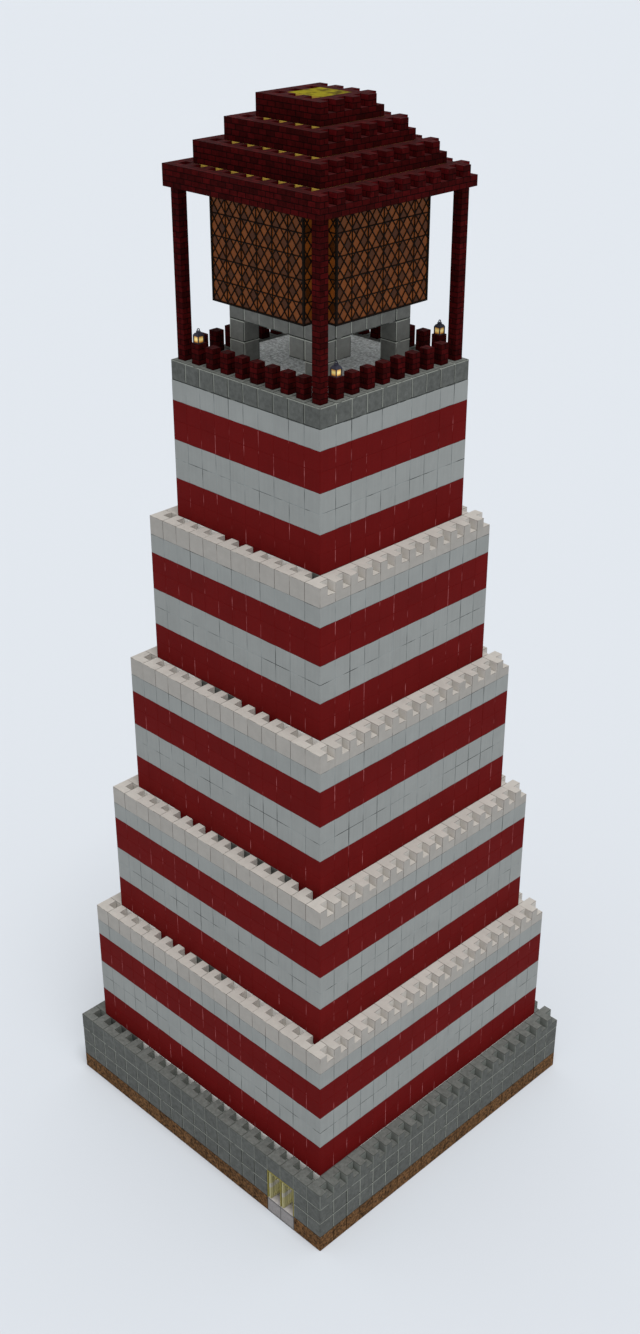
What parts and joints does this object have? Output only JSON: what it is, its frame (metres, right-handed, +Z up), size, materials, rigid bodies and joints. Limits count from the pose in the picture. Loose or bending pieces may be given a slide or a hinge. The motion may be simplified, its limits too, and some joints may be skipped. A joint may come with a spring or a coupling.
{
  "type": "lighthouse, 1:2 scale model",
  "caption": "Square stepped lighthouse tower with red and white bands, notched copings, a railed gallery, an amber lantern under a stepped brick roof, and open doors in its stone base.",
  "frame": {"origin": "centre of the underside of the footing", "axes": "+Z up; the doors are in the -Y face and +X is on the right of the doors"},
  "size_m": [10, 10, 28],
  "materials": {
    "footing_stone": "rough earth-brown stone",
    "floor_stone": "honed pale stone",
    "grey_stone": "dressed grey stone with pale joints",
    "coping_stone": "smooth pale stone",
    "striped_masonry": "block masonry painted in dark red and off-white bands",
    "dark_brick": "dark red brick",
    "yellow_core": "satin yellow",
    "lantern_iron": "dark painted iron",
    "amber_glass": "amber glass",
    "lamp_glass": "glowing yellow glass",
    "door_wood": "pale yellow painted boards"
  },
  "bodies": {
    "tower": {"base_coping": "grey_stone", "base_front_and_back_walls": "grey_stone", "base_side_walls": "grey_stone", "corner_posts": "dark_brick", "door_head": "door_wood", "door_posts": "door_wood", "door_threshold": "floor_stone", "footing_front_and_back": "footing_stone", "footing_sides": "footing_stone", "gallery_floor": "grey_stone", "gallery_lantern_frames": "lantern_iron", "gallery_lantern_glass": "lamp_glass", "ground_floor": "floor_stone", "lantern_back_glass": "amber_glass", "lantern_ceiling": "lantern_iron", "lantern_corner_glass": "amber_glass", "lantern_floor": "lantern_iron", "lantern_front_glass": "amber_glass", "lantern_left_glass": "amber_glass", "lantern_posts": "lantern_iron", "lantern_right_glass": "amber_glass", "pedestal_brackets": "grey_stone", "pedestal_lintels": "grey_stone", "pedestal_piers": "grey_stone", "railing_posts": "dark_brick", "roof_core": "yellow_core", "roof_course_1": "dark_brick", "roof_course_2": "dark_brick", "roof_course_3": "dark_brick", "roof_course_4": "dark_brick", "tier_1_coping": "coping_stone", "tier_1_front_and_back_walls": "striped_masonry", "tier_1_side_walls": "striped_masonry", "tier_2_coping": "coping_stone", "tier_2_front_and_back_walls": "striped_masonry", "tier_2_side_walls": "striped_masonry", "tier_3_coping": "coping_stone", "tier_3_front_and_back_walls": "striped_masonry", "tier_3_side_walls": "striped_masonry", "tier_4_coping": "coping_stone", "tier_4_front_and_back_walls": "striped_masonry", "tier_4_side_walls": "striped_masonry", "tier_5_front_and_back_walls": "striped_masonry", "tier_5_side_walls": "striped_masonry"},
    "left_leaf": {"left_door": "door_wood"},
    "right_leaf": {"right_door": "door_wood"}
  },
  "joints": [
    {"name": "left_door_hinge", "type": "hinge", "parent": "tower", "child": "left_leaf", "pos_m": [3.077, -4.947, 1], "axis": [0, 0, -1], "range_deg": [0, 90]},
    {"name": "right_door_hinge", "type": "hinge", "parent": "tower", "child": "right_leaf", "pos_m": [3.565, -4.947, 1], "axis": [0, 0, -1], "range_deg": [0, 90]}
  ]
}
